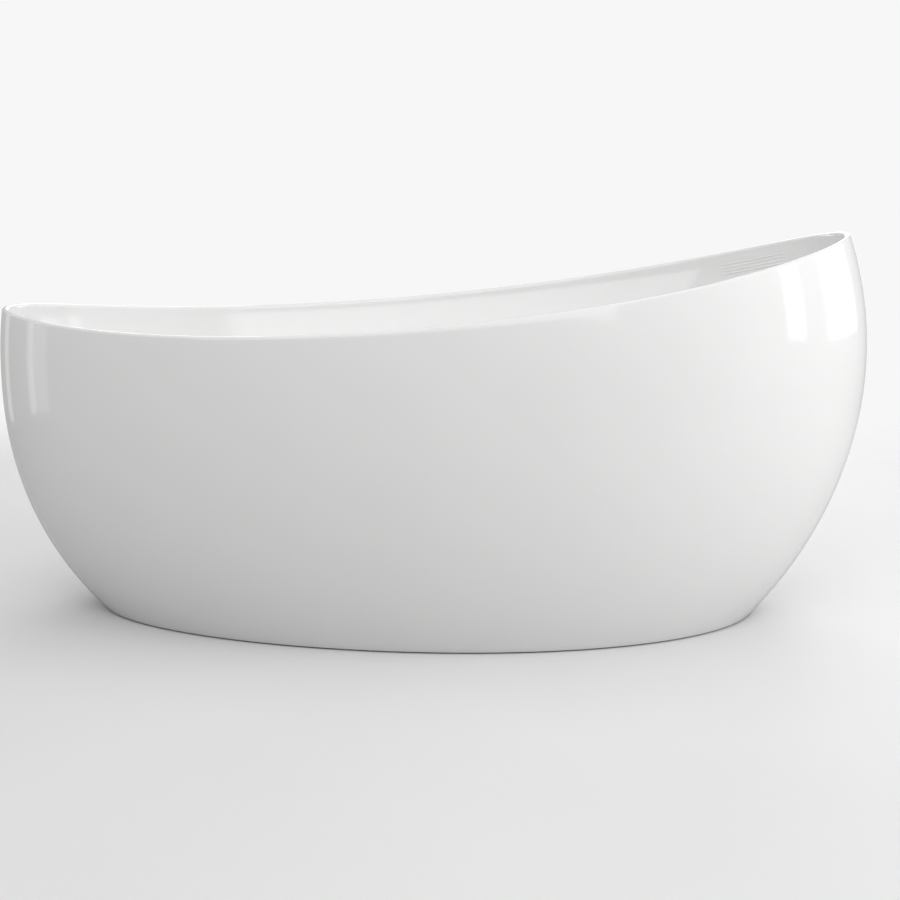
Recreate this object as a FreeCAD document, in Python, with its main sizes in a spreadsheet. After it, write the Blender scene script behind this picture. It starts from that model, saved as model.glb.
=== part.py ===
# Freestanding egg-shaped bathtub: a moulded basin bonded inside a moulded skirt, carried by a board,
# three cross rails and six levelling feet, with a rotary pop-up waste, an overflow and a shallow trap.
# Millimetres. +X points to the high (head) end, +Y to the overflow side, +Z up.
# The origin is on the floor, under the middle of the bathtub.
import FreeCAD, Part
import math
import os
import re

import Sketcher
from FreeCAD import Placement, Rotation, Vector

DIMENSIONS = [
    # Outer skin: half sizes at its widest, and the superellipse that draws each side in above and below.
    ("half_length", 950, "middle to either end"),
    ("half_width", 472.5, "middle to either side"),
    ("egg_skew", 0.1, "how much fuller the head half is than the foot half"),
    ("head_belly_z", 563, "height where the head end reaches furthest"),
    ("head_span", 884, "height over which the head end would close"),
    ("head_power", 1.966, "exponent of the head end's profile"),
    ("foot_belly_z", 527, "height where the foot end reaches furthest"),
    ("foot_span", 777, "height over which the foot end would close"),
    ("foot_power", 2.22, "exponent of the foot end's profile"),
    ("side_belly_z", 523, "height where the sides are widest"),
    ("side_span", 837, "height over which the sides would close"),
    ("side_power", 2.15, "exponent of the sides' profile"),
    # Rim line, seen from the side.
    ("rim_middle_z", 666, "rim height at the middle"),
    ("rim_rise", 88, "rise from the middle to the head end"),
    ("rim_bow", 76, "upward bow at both ends"),
    ("rim_curl", 20, "extra lift close to the tips"),
    # Shell walls.
    ("skirt_wall", 6, "outer moulding"),
    ("bond_gap", 1, "adhesive between the mouldings at the rim"),
    ("bond_depth", 22, "height of the adhesive bead"),
    ("basin_wall", 7, "inner moulding"),
    ("skirt_gap", 3, "skirt's lower edge above the floor"),
    # Basin.
    ("lean_slope", 0.36, "how far the wall leans in per unit of depth"),
    ("lean_blend", 40, "depth over which the lean begins"),
    ("well_top_z", 640, "height where the well starts to close"),
    ("floor_wet_z", 165, "bathing floor"),
    ("floor_dry_z", 159, "flat underside of the basin"),
    ("floor_round_z", 155, "lowest point of the underside's curve, before the flat"),
    ("side_close", 5, "squareness of the well's sides"),
    ("foot_close", 5, "squareness of the well's foot end"),
    ("head_close", 3.6, "squareness of the reclined head end"),
    # Board and rails.
    ("board_length", 1060, ""),
    ("board_width", 340, ""),
    ("board_corner", 60, "corner radius"),
    ("board_thickness", 18, ""),
    ("board_z", 141, "underside of the board"),
    ("board_hole_radius", 52, "clearance round the waste"),
    ("rail_width", 40, "along X"),
    ("rail_height", 30, ""),
    ("rail_length", 600, "along Y"),
    ("rail_wall", 2, ""),
    ("rail_z", 111, "underside of the rails"),
    ("end_rail_x", 480, "end rails, from the middle"),
    ("middle_rail_x", 150, "middle rail, clear of the trap"),
    ("block_inner_y", 240, "inner end of the skirt blocks"),
    ("block_outer_y", 420, "cut back to the skirt"),
    ("block_height", 30, ""),
    ("block_width", 36, ""),
    ("screw_radius", 2.5, ""),
    ("screw_head_radius", 5, ""),
    ("screw_head_height", 3, ""),
    ("board_screw_y", 120, ""),
    ("board_screw_length", 28, ""),
    ("block_screw_y", 260, ""),
    ("block_screw_length", 50, ""),
    # Levelling feet.
    ("foot_y", 200, "feet, from the middle"),
    ("stud_radius", 6, ""),
    ("stud_bottom_z", 8, ""),
    ("stud_length", 119, ""),
    ("stud_hex_z", 22, ""),
    ("stud_hex_height", 6, ""),
    ("stud_hex_radius", 9.8, "across corners"),
    ("stud_hole_radius", 6.5, "hole in the rail"),
    ("thread_clearance", 0.05, "radial"),
    ("insert_height", 10, ""),
    ("lock_nut_height", 6, ""),
    ("nut_hex_radius", 10.9, "across corners"),
    ("pad_radius", 25, ""),
    ("pad_rim", 6, "height of the pad's straight edge"),
    ("pad_cone_top", 15, ""),
    ("pad_neck_radius", 10, ""),
    ("pad_height", 20, ""),
    # Waste.
    ("waste_hole_radius", 26, ""),
    ("seat_gasket", 1.5, ""),
    ("gasket_margin", 1, "gaskets stop short of the plates they seal"),
    ("flange_radius", 35, ""),
    ("flange_plate", 2.5, ""),
    ("flange_bore", 21, ""),
    ("flange_tail_radius", 24, ""),
    ("flange_tail_length", 25, ""),
    ("flange_rounding", 1.2, ""),
    ("lower_gasket", 3, ""),
    ("waste_collar_radius", 36, ""),
    ("waste_collar_height", 6, ""),
    ("barrel_radius", 31, ""),
    ("barrel_bore", 27, ""),
    ("barrel_bottom_z", 100, ""),
    ("barrel_floor", 4, ""),
    ("barrel_neck_z", 140, "threaded neck starts here"),
    ("tail_radius", 20, ""),
    ("tail_bore", 16.5, ""),
    ("tail_bottom_z", 27, "dips into the trap's water"),
    ("port_z", 120, "side port of the waste"),
    ("spigot_radius", 9.2, ""),
    ("spigot_bore", 7.2, ""),
    ("spigot_reach", 60, ""),
    ("cable_port_z", 118, ""),
    ("gland_radius", 5.5, ""),
    ("gland_reach", 46, ""),
    ("gland_angle", 40, "degrees from +X towards +Y"),
    ("cable_radius", 3, ""),
    ("cable_entry", 10, "sheath inside the gland"),
    # Plug and its lifter.
    ("plug_radius", 32, ""),
    ("plug_plate", 2.4, ""),
    ("plug_dome", 3.6, ""),
    ("plug_edge", 1, "rounding of the cap"),
    ("plug_gap", 1.5, "cap above the flange"),
    ("seal_radius", 24, ""),
    ("seal_bore", 19, ""),
    ("seal_clearance", 0.1, ""),
    ("stem_radius", 4, ""),
    ("stem_bottom_z", 112, ""),
    ("spider_height", 6, ""),
    ("spider_z", 144, ""),
    ("spider_boss", 7.5, ""),
    ("spider_rim", 3, "wall of the spider's ring"),
    ("spider_arm", 4, ""),
    ("running_clearance", 0.05, "radial"),
    ("lever_pivot_x", 19, "behind the stem, on the -X side"),
    ("lever_pivot_z", 113, ""),
    ("lever_reach", 21, ""),
    ("lever_droop", 15, "degrees below level when the plug is shut"),
    ("lever_width", 8, ""),
    ("lever_thickness", 4, ""),
    ("lever_hub", 5, ""),
    ("lever_tip", 3.2, ""),
    ("pin_radius", 2, ""),
    ("pin_length", 48, ""),
    # Trap and outlet.
    ("trap_radius", 55, ""),
    ("trap_wall", 3, ""),
    ("trap_bottom_z", 14, ""),
    ("trap_height", 74, ""),
    ("trap_neck_radius", 26, ""),
    ("trap_neck_height", 6, ""),
    ("trap_seal", 2.5, ""),
    ("trap_nut_radius", 33, "across corners"),
    ("trap_nut_height", 10, ""),
    ("trap_nut_gap", 1, "nut above the cup's shoulder"),
    ("outlet_z", 64, "axis of the trap's outlet"),
    ("outlet_radius", 20, ""),
    ("outlet_bore", 17, ""),
    ("outlet_spigot_x", 84, "end of the trap's outlet spigot"),
    ("socket_radius", 24, ""),
    ("socket_start_x", 70, ""),
    ("socket_end_x", 98, ""),
    ("drop_x", 130, "axis of the outlet that points down"),
    ("drop_bottom_z", 12, ""),
    # Overflow, measured along the normal of the basin's wall.
    ("overflow_z", 535, "centre of the overflow"),
    ("face_radius", 38, ""),
    ("face_bore", 23.5, ""),
    ("face_lift", 0.9, "off the slightly curved wall"),
    ("face_plate", 3, ""),
    ("face_rounding", 1.2, ""),
    ("face_tube_radius", 25.5, ""),
    ("face_tube_depth", 9, ""),
    ("housing_front", 9.7, "behind the wet face"),
    ("housing_depth", 19.3, ""),
    ("housing_radius", 31, ""),
    ("housing_wall", 2.5, ""),
    ("housing_collar", 35, ""),
    ("housing_collar_depth", 2.3, ""),
    ("wall_gasket", 2.8, ""),
    ("overflow_spigot_depth", 19.4, "behind the wet face"),
    ("overflow_spigot_reach", 54, ""),
    ("overflow_gland_reach", 42, ""),
    ("overflow_gland_angle", -50, "degrees from the wall's horizontal"),
    ("spindle_radius", 5, ""),
    ("spindle_back", 25.5, ""),
    ("spindle_length", 36, ""),
    ("bearing_radius", 8, ""),
    ("bearing_depth", 8, "behind the wet face"),
    ("bearing_height", 5, ""),
    ("bearing_rim", 6, "wall of the bearing's ring"),
    ("drum_radius", 14, ""),
    ("drum_back", 24, ""),
    ("drum_height", 6, ""),
    ("knob_radius", 35, ""),
    ("knob_back", 8, "back of the knob above the wet face"),
    ("knob_edge", 5, ""),
    ("knob_height", 8, ""),
    ("knob_crown", 28, ""),
    ("knob_hub", 9, ""),
    ("knob_hub_height", 3, ""),
    ("knob_socket", 5.5, "spindle inside the knob"),
    ("grip_length", 52, ""),
    ("grip_width", 9, ""),
    ("grip_height", 9, ""),
    ("grip_end_radius", 4.1, "rounding of the grip's ends"),
    ("face_screw_x", 20.3, ""),
    ("face_screw_radius", 1.8, ""),
    ("face_screw_head", 3, ""),
    ("face_screw_head_height", 2, ""),
    # Hose between the overflow and the waste.
    ("hose_radius", 11, ""),
    ("hose_bore", 9.3, ""),
    ("hose_grip", 16, "hose pushed over each spigot"),
    ("clip_radius", 13, ""),
    ("clip_width", 8, ""),
    ("clip_setback", 3, "from the hose's end"),
    ("hose_drop", 340, "down the wall before the hose turns in"),
    ("hose_turn_y", 215, "where the hose turns towards the waste"),
    ("cable_lead_out", 60, "straight run out of the overflow"),
    ("cable_lead_in", 62, "straight run into the waste"),
]

X_AXIS, Y_AXIS, Z_AXIS = Vector(1, 0, 0), Vector(0, 1, 0), Vector(0, 0, 1)
SECTION_POINTS = 48
SHELL_TOP_Z = 880
SHELL_LEVELS = 14
UPPER_WELL_STEP = 34
LOWER_WELL_STEPS = 14
LEVEL_CROWDING = 0.8
WELL_BOTTOM_FRACTION = 0.9995
RIM_POINTS = 11
RAILS = [("foot_end", -1, "end_rail_x"), ("middle", 1, "middle_rail_x"), ("head_end", 1, "end_rail_x")]
SIDES = [("front", -1), ("rear", 1)]
RIM_OVERRUN = 1.1
CORNER_SHARE = 0.45
# Corners of the control cable's way down behind the basin and in beside the hose.
CABLE_CORNERS = [Vector(82, 378, 340), Vector(92, 318, 200), Vector(96, 215, 132), Vector(92, 135, 119)]

doc = FreeCAD.newDocument("freestanding_bathtub")
dims = doc.addObject("Spreadsheet::Sheet", "dims")
for row, (alias, value, meaning) in enumerate(DIMENSIONS, start=1):
    dims.set("A%d" % row, alias.replace("_", " "))
    dims.set("B%d" % row, str(value))
    dims.set("C%d" % row, meaning)
    dims.setAlias("B%d" % row, alias)
doc.recompute()


def size(text):
    """Value of a driving dimension, or of a sum of them."""
    return sum(float(dims.get(name)) for name in text.split(" + "))


# ---------------------------------------------------------------- building with expressions

def formula(text):
    """Point every dimension's name in an expression at the sheet."""
    return re.sub(r"[a-z][a-z_]+", lambda name: "dims." + name.group(), text)


def bind(feature, **sizes):
    """Drive a feature's properties from the sheet."""
    for name, text in sizes.items():
        feature.setExpression(name, formula(text))
    return feature


def put(feature, x="0", y="0", z="0"):
    """Drive a feature's position from the sheet."""
    for axis, text in zip("xyz", (x, y, z)):
        if text != "0":
            feature.setExpression("Placement.Base." + axis, formula(text))
    return feature


def cylinder(label, radius, height, x="0", y="0", z="0"):
    disc = bind(doc.addObject("Part::Cylinder", label), Radius=radius, Height=height)
    return put(disc, x, y, z)


def hexagon(label, radius, height, x="0", y="0", z="0"):
    prism = bind(doc.addObject("Part::Prism", label), Circumradius=radius, Height=height)
    prism.Polygon = 6
    return put(prism, x, y, z)


def block(label, length, width, height, x="0", y="0", z="0"):
    box = bind(doc.addObject("Part::Box", label), Length=length, Width=width, Height=height)
    return put(box, x, y, z)


def turned(feature, axis, angle):
    """Turn a feature about its own base point; put() then places it."""
    feature.Placement = Placement(Vector(), Rotation(axis, angle))
    return feature


def fuse(label, *pieces):
    joined = doc.addObject("Part::MultiFuse", label)
    joined.Shapes = list(pieces)
    return joined


def cut(label, base, *tools):
    result = doc.addObject("Part::Cut", label)
    result.Base = base
    result.Tool = tools[0] if len(tools) == 1 else fuse(label + "_tools", *tools)
    return result


def gathered(label, pieces):
    """Separate solids kept together in one node."""
    group = doc.addObject("Part::Compound", label)
    group.Links = list(pieces)
    return group


def ring(label, outer, inner, height, x="0", y="0", z="0"):
    solid = cylinder(label + "_outside", outer, height, x, y, z)
    return cut(label, solid, cylinder(label + "_bore", inner, height, x, y, z))


def origin_plane(body, role):
    return next(plane for plane in body.Origin.OriginFeatures if plane.Role == role)


def attached_sketch(body, name, role):
    sketch = body.newObject("Sketcher::SketchObject", name)
    sketch.AttachmentSupport = (origin_plane(body, role), "")
    sketch.MapMode = "FlatFace"
    return sketch


def hold(sketch, kind, vertex, alias):
    """Fix one coordinate of a vertex at a dimension of the sheet, or on the axis."""
    if alias is None:
        axis = -2 if kind == "DistanceX" else -1
        sketch.addConstraint(Sketcher.Constraint("PointOnObject", vertex, 1, axis))
        return
    index = sketch.addConstraint(Sketcher.Constraint(kind, -1, 1, vertex, 1, size(alias)))
    sketch.setExpression("Constraints[%d]" % index, formula(alias))


def rectangle_sketch(body, name, length, width, z="0"):
    """Rectangle centred on Z, parallel to the XY plane."""
    sketch = attached_sketch(body, name, "XY_Plane")
    sketch.setExpression("AttachmentOffset.Base.z", formula(z))
    half_x, half_y = size(length) / 2, size(width) / 2
    corners = [Vector(x * half_x, y * half_y) for x, y in ((-1, -1), (1, -1), (1, 1), (-1, 1))]
    for start, end in zip(corners, corners[1:] + corners[:1]):
        sketch.addGeometry(Part.LineSegment(start, end), False)
    for line in range(4):
        sketch.addConstraint(Sketcher.Constraint("Coincident", line, 2, (line + 1) % 4, 1))
    for line in (0, 2):
        sketch.addConstraint(Sketcher.Constraint("Horizontal", line))
        sketch.addConstraint(Sketcher.Constraint("Vertical", line + 1))
    sketch.addConstraint(Sketcher.Constraint("Symmetric", 0, 1, 2, 1, -1, 1))
    for kind, line, alias in (("DistanceX", 0, length), ("DistanceY", 1, width)):
        index = sketch.addConstraint(Sketcher.Constraint(kind, line, 1, line, 2, size(alias)))
        sketch.setExpression("Constraints[%d]" % index, formula(alias))
    return sketch


def padded(body, name, sketch, height):
    pad = body.newObject("PartDesign::Pad", name)
    pad.Profile = sketch
    pad.setExpression("Length", formula(height))
    doc.recompute()
    return pad


def filleted(body, name, radius, wanted):
    """Round the edges of the body's tip that a test picks."""
    base = body.Tip
    edges = ["Edge%d" % i for i, edge in enumerate(base.Shape.Edges, start=1) if wanted(edge)]
    fillet = body.newObject("PartDesign::Fillet", name)
    fillet.Base = (base, edges)
    fillet.setExpression("Radius", formula(radius))
    doc.recompute()
    return body


def upright(edge):
    return isinstance(edge.Curve, Part.Line) and abs(edge.tangentAt(edge.FirstParameter).z) > 0.9


def turned_body(label, outline):
    """A body turned about Z from a closed outline of (radius, height) dimensions; None is zero."""
    body = doc.addObject("PartDesign::Body", label)
    sketch = attached_sketch(body, label + "_outline", "XZ_Plane")
    corners = [Vector(size(r) if r else 0, size(z) if z else 0, 0) for r, z in outline]
    for start, end in zip(corners, corners[1:] + corners[:1]):
        sketch.addGeometry(Part.LineSegment(start, end), False)
    for line in range(len(corners)):
        following = (line + 1) % len(corners)
        sketch.addConstraint(Sketcher.Constraint("Coincident", line, 2, following, 1))
    for line, (radius, height) in enumerate(outline):
        hold(sketch, "DistanceX", line, radius)
        hold(sketch, "DistanceY", line, height)
    turn = body.newObject("PartDesign::Revolution", label + "_turned")
    turn.Profile = sketch
    turn.ReferenceAxis = (sketch, ["V_Axis"])
    turn.Angle = 360
    doc.recompute()
    return body


def circle_at(radius, z):
    """Test for a circular edge of one radius at one height."""
    def matches(edge):
        curve = edge.Curve
        if not isinstance(curve, Part.Circle):
            return False
        return abs(curve.Radius - radius) < 0.01 and abs(curve.Center.z - z) < 0.01
    return matches


# ---------------------------------------------------------------- the mouldings' surfaces

def closing(fraction, power):
    """Superellipse: 1 where it starts to close, 0 where it has closed."""
    return (1 - min(fraction, 1) ** power) ** (1 / power)


def reach_at(z, belly_z, span, power):
    return closing(abs(z - belly_z) / span, power)


def rim_z(x):
    """Height of the rim at a place along the bathtub."""
    along = x / size("half_length")
    bow = size("rim_bow") * along ** 2 + size("rim_curl") * along ** 4
    return size("rim_middle_z") + size("rim_rise") * along + bow


def outer_half_sizes(z):
    """Outer skin's reach towards the head, the foot and either side at one height."""
    head = size("half_length") * reach_at(z, size("head_belly_z"), size("head_span"), size("head_power"))
    foot = size("half_length") * reach_at(z, size("foot_belly_z"), size("foot_span"), size("foot_power"))
    side = size("half_width") * reach_at(z, size("side_belly_z"), size("side_span"), size("side_power"))
    return head, foot, side


def egg_point(head, foot, side, angle, z):
    x = (head - foot) / 2 + (head + foot) / 2 * math.cos(angle)
    y = side * math.sin(angle) * (1 + size("egg_skew") * math.cos(angle))
    return Vector(x, y, z)


def skin_point(angle, z, inset):
    head, foot, side = outer_half_sizes(z)
    return egg_point(head - inset, foot - inset, side - inset, angle, z)


def lean(depth):
    """How far the basin's wall has moved inwards at a depth below the rim."""
    if depth <= 0:
        return 0
    blend = size("lean_blend")
    return size("lean_slope") * (math.hypot(depth, blend) - blend)


def lining_point(angle, z, inset, bottom_z):
    """A point of the basin's wall, which leans in from the rim and closes into a dished floor."""
    edge = skin_point(angle, z, inset)
    inward = inset + lean(rim_z(edge.x) - z)
    fraction = max(0, size("well_top_z") - z) / (size("well_top_z") - bottom_z)
    head, foot, side = outer_half_sizes(z)
    head = (head - inward) * closing(fraction, size("head_close"))
    foot = (foot - inward) * closing(fraction, size("foot_close"))
    side = (side - inward) * closing(fraction, size("side_close"))
    return egg_point(head, foot, side, angle, z)


def closed_loft(levels, point_at):
    """A solid through smooth closed sections, one at each level."""
    wires = []
    for z in levels:
        turns = [math.pi / 2 + 2 * math.pi * k / SECTION_POINTS for k in range(SECTION_POINTS)]
        curve = Part.BSplineCurve()
        curve.interpolate(Points=[point_at(angle, z) for angle in turns], PeriodicFlag=True)
        wires.append(Part.Wire([curve.toShape()]))
    return Part.makeLoft(wires, True, False)


def skin_solid(inset):
    bottom = size("skirt_gap")
    levels = [bottom + (SHELL_TOP_Z - bottom) * k / SHELL_LEVELS for k in range(SHELL_LEVELS + 1)]
    return closed_loft(levels, lambda angle, z: skin_point(angle, z, inset))


def lining_solid(inset, bottom_z, round_z):
    """The solid inside one face of the basin, down to its flat bottom."""
    top = size("well_top_z")
    levels = [z for z in range(int(top) + UPPER_WELL_STEP, SHELL_TOP_Z + 1, UPPER_WELL_STEP)]
    levels = levels[::-1] + [top]
    last = min(WELL_BOTTOM_FRACTION, (top - bottom_z) / (top - round_z))
    for step in range(1, LOWER_WELL_STEPS + 1):
        fraction = last * math.sin(math.pi / 2 * step / LOWER_WELL_STEPS) ** LEVEL_CROWDING
        levels.append(top - (top - round_z) * fraction)
    flat = levels[-1]
    solid = closed_loft(levels, lambda angle, z: lining_point(angle, z, inset, round_z))
    solid.translate(Vector(0, 0, bottom_z - flat))
    return solid


def below_rim(drop=0):
    """Everything under the rim line, or under a line parallel to it."""
    reach = size("half_length") * RIM_OVERRUN
    stations = [reach * (2 * k / (RIM_POINTS - 1) - 1) for k in range(RIM_POINTS)]
    curve = Part.BSplineCurve()
    curve.interpolate([Vector(x, -reach, rim_z(x) - drop) for x in stations])
    low = Vector(0, 0, -size("rim_middle_z") * 2)
    ends = [curve.StartPoint, curve.EndPoint]
    corners = [ends[1], ends[1] + low, ends[0] + low, ends[0]]
    edges = [curve.toShape()] + [Part.makeLine(a, b) for a, b in zip(corners, corners[1:])]
    return Part.Face(Part.Wire(edges)).extrude(Vector(0, 2 * reach, 0))


def moulding(label, shape):
    """A free-form piece, kept as the single solid of a shape."""
    piece = doc.addObject("Part::Feature", label)
    piece.Shape = shape.Solids[0] if len(shape.Solids) == 1 else shape
    return piece


def wet_point(angle, z, inset):
    return lining_point(angle, z, inset, size("floor_wet_z"))


def wall_frame(x, z):
    """Placement on the basin's wet face, with local Z out of the wall and local Y up along it."""
    inset = size("skirt_wall") + size("bond_gap") + size("basin_wall")
    low, high = 0.0, math.pi
    for _ in range(50):
        middle = (low + high) / 2
        low, high = (middle, high) if wet_point(middle, z, inset).x > x else (low, middle)
    step = 0.01
    here = wet_point(low, z, inset)
    along = wet_point(low - step, z, inset) - wet_point(low + step, z, inset)
    up = wet_point(low, z + 1, inset) - wet_point(low, z - 1, inset)
    normal = along.cross(up).normalize()
    return Placement(here, Rotation(up.cross(normal), up, normal, "ZYX"))


outer_skin = skin_solid(0)
skirt_inside = skin_solid(size("skirt_wall"))
dry_inset = size("skirt_wall") + size("bond_gap")
basin_outside = lining_solid(dry_inset, size("floor_dry_z"), size("floor_round_z"))
wet_inset = dry_inset + size("basin_wall")
basin_inside = lining_solid(wet_inset, size("floor_wet_z"), size("floor_wet_z"))
under_rim = below_rim()

overflow_frame = wall_frame(0, size("overflow_z"))
waste_hole = Part.makeCylinder(size("waste_hole_radius"), size("floor_wet_z"))
hole_reach = 2 * size("basin_wall")
overflow_hole = Part.makeCylinder(size("waste_hole_radius"), 2 * hole_reach)
overflow_hole.translate(Vector(0, 0, -hole_reach))
overflow_hole.Placement = overflow_frame.multiply(overflow_hole.Placement)

basin_shell = basin_outside.cut(basin_inside).common(under_rim)
moulding("basin", basin_shell.cut(waste_hole).cut(overflow_hole))
moulding("skirt", outer_skin.cut(skirt_inside).common(under_rim))
bead_band = under_rim.cut(below_rim(size("bond_depth")))
moulding("rim_adhesive", skirt_inside.cut(basin_outside).common(bead_band))


# ---------------------------------------------------------------- board, rails and skirt blocks

def rail_positions():
    """Name and place along X of each rail."""
    for name, sign, alias in RAILS:
        yield name, sign * size(alias), ("-" if sign < 0 else "") + alias


def centred(position, extent):
    """Expression for the low side of something centred on a position."""
    return "%s - %s / 2" % (position, extent)


def floor_board():
    """Board with rounded corners and a clearance hole round the waste."""
    body = doc.addObject("PartDesign::Body", "floor_board_blank")
    padded(body, "board_sheet", rectangle_sketch(body, "board_outline", "board_length", "board_width"),
           "board_thickness")
    filleted(body, "board_corners", "board_corner", upright)
    hole = attached_sketch(body, "waste_clearance", "XY_Plane")
    hole.addGeometry(Part.Circle(Vector(0, 0, 0), Vector(0, 0, 1), size("board_hole_radius")), False)
    hole.addConstraint(Sketcher.Constraint("Coincident", 0, 3, -1, 1))
    radius = hole.addConstraint(Sketcher.Constraint("Radius", 0, size("board_hole_radius")))
    hole.setExpression("Constraints[%d]" % radius, "dims.board_hole_radius")
    pocket = body.newObject("PartDesign::Pocket", "waste_opening")
    pocket.Profile = hole
    pocket.Type = "ThroughAll"
    pocket.Reversed = True
    doc.recompute()
    return put(body, z="board_z")


def screw(label, radius, length, head, head_height, x, y, z, upwards):
    """Plain screw along Z; z is the outer face of its head."""
    if upwards:
        head_z, shank_z = z, z
    else:
        head_z, shank_z = "%s - (%s)" % (z, head_height), "%s - (%s)" % (z, length)
    shank = cylinder(label + "_shank", radius, length, x, y, shank_z)
    return fuse(label, shank, cylinder(label + "_head", head, head_height, x, y, head_z))


board = floor_board()
board_screws = []
block_screws = []
board_top = "board_z + board_thickness"
for name, x, x_text in rail_positions():
    for side, sign in SIDES:
        sign_text = "-" if sign < 0 else ""
        spot = "%s_%s" % (name, side)
        board_screws.append(screw(
            "board_screw_" + spot, "screw_radius", "board_screw_length", "screw_head_radius",
            "screw_head_height", x_text, sign_text + "board_screw_y", board_top, False))
        block_screws.append(screw(
            "block_screw_" + spot, "screw_radius", "block_screw_length", "screw_head_radius",
            "screw_head_height", x_text, sign_text + "block_screw_y", "rail_z - screw_head_height", True))
all_board_screws = gathered("board_screws", board_screws)
all_block_screws = gathered("block_screws", block_screws)
cut("floor_board", board, all_board_screws)

for name, x, x_text in rail_positions():
    outside = block(name + "_rail_outside", "rail_width", "rail_length", "rail_height",
                    centred(x_text, "rail_width"), "-rail_length / 2", "rail_z")
    inside = block(name + "_rail_inside", "rail_width - 2 * rail_wall", "rail_length",
                   "rail_height - 2 * rail_wall", centred(x_text, "(rail_width - 2 * rail_wall)"),
                   "-rail_length / 2", "rail_z + rail_wall")
    drilled = [cylinder("%s_%s_stud_hole" % (name, side), "stud_hole_radius", "rail_wall * 2",
                        x_text, ("-" if sign < 0 else "") + "foot_y", "rail_z - rail_wall")
               for side, sign in SIDES]
    cut("rail_" + name, outside, inside, all_board_screws, all_block_screws, *drilled)
    for side, sign in SIDES:
        low = size("block_inner_y") if sign > 0 else -size("block_outer_y")
        timber = Part.makeBox(
            size("block_width"), size("block_outer_y") - size("block_inner_y"), size("block_height"),
            Vector(x - size("block_width") / 2, low, size("rail_z + rail_height")))
        screw_start = Vector(x, sign * size("block_screw_y"), size("rail_z") - size("screw_head_height"))
        hole = Part.makeCylinder(size("screw_radius"), size("block_screw_length"), screw_start)
        moulding("skirt_block_%s_%s" % (name, side), timber.common(skirt_inside).cut(hole))


# ---------------------------------------------------------------- levelling feet

inserts = []
lock_nuts = []
for name, x, x_text in rail_positions():
    for side, sign in SIDES:
        y_text = ("-" if sign < 0 else "") + "foot_y"
        spot = "%s_%s" % (name, side)
        shaft = cylinder(spot + "_stud_shaft", "stud_radius", "stud_length", x_text, y_text,
                         "stud_bottom_z")
        grip = hexagon(spot + "_stud_grip", "stud_hex_radius", "stud_hex_height", x_text, y_text,
                       "stud_hex_z")
        fuse("foot_stud_" + spot, shaft, grip)
        pad = turned_body("foot_pad_" + spot, [
            (None, None), ("pad_radius", None), ("pad_radius", "pad_rim"),
            ("pad_neck_radius", "pad_cone_top"), ("pad_neck_radius", "pad_height"),
            ("stud_radius", "pad_height"), ("stud_radius", "stud_bottom_z"), (None, "stud_bottom_z")])
        put(pad, x_text, y_text)
        for kind, height, top, found in (
                ("insert", "insert_height", "rail_z", inserts),
                ("lock_nut", "lock_nut_height", "rail_z - insert_height", lock_nuts)):
            outside = hexagon("%s_%s_hex" % (spot, kind), "nut_hex_radius", height, x_text, y_text,
                              "%s - %s" % (top, height))
            thread = cylinder("%s_%s_thread" % (spot, kind), "stud_radius + thread_clearance", height,
                              x_text, y_text, "%s - %s" % (top, height))
            found.append(cut("%s_%s" % (kind, spot), outside, thread))
gathered("foot_inserts", inserts)
gathered("foot_lock_nuts", lock_nuts)


# ---------------------------------------------------------------- waste, plug and lifter

def sideways(label, radius, reach, angle, z):
    """Cylinder that lies flat and leaves the waste's axis at an angle from +X."""
    tube = cylinder(label, radius, reach)
    tube.Placement = Placement(Vector(), Rotation(Z_AXIS, angle) * Rotation(Y_AXIS, 90))
    return put(tube, z=z)


def spider(label, rim, boss, bore, height, rim_wall, arm, z):
    """Ring with three arms and a bored boss in the middle."""
    outside = ring(label + "_rim", rim, "%s - %s" % (rim, rim_wall), height, z=z)
    hub = cylinder(label + "_hub", boss, height, z=z)
    arms = []
    for step in range(3):
        angle = 30 + 120 * step
        spoke = block("%s_arm_%d" % (label, step), "%s - %s / 2" % (rim, rim_wall), arm, height)
        aside = Rotation(Z_AXIS, angle).multVec(Vector(0, -1, 0))
        turned(spoke, Z_AXIS, angle)
        arms.append(put(spoke, "%s / 2 * %.6f" % (arm, aside.x), "%s / 2 * %.6f" % (arm, aside.y), z))
    whole = fuse(label + "_whole", outside, hub, *arms)
    return cut(label, whole, cylinder(label + "_bearing", bore, height, z=z))


flange_z = "floor_wet_z + seat_gasket"
flange_top = "flange_tail_length + flange_plate"
ring("waste_gasket_upper", "flange_radius - gasket_margin", "flange_tail_radius", "seat_gasket",
     z="floor_wet_z")
flange = turned_body("waste_flange", [
    ("flange_bore", None), ("flange_tail_radius", None), ("flange_tail_radius", "flange_tail_length"),
    ("flange_radius", "flange_tail_length"), ("flange_radius", flange_top), ("flange_bore", flange_top)])
filleted(flange, "flange_edge", "flange_rounding", circle_at(size("flange_radius"), size(flange_top)))
put(flange, z=flange_z + " - flange_tail_length")
ring("waste_gasket_lower", "waste_collar_radius - gasket_margin", "flange_tail_radius", "lower_gasket",
     z="floor_dry_z - lower_gasket")

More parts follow.
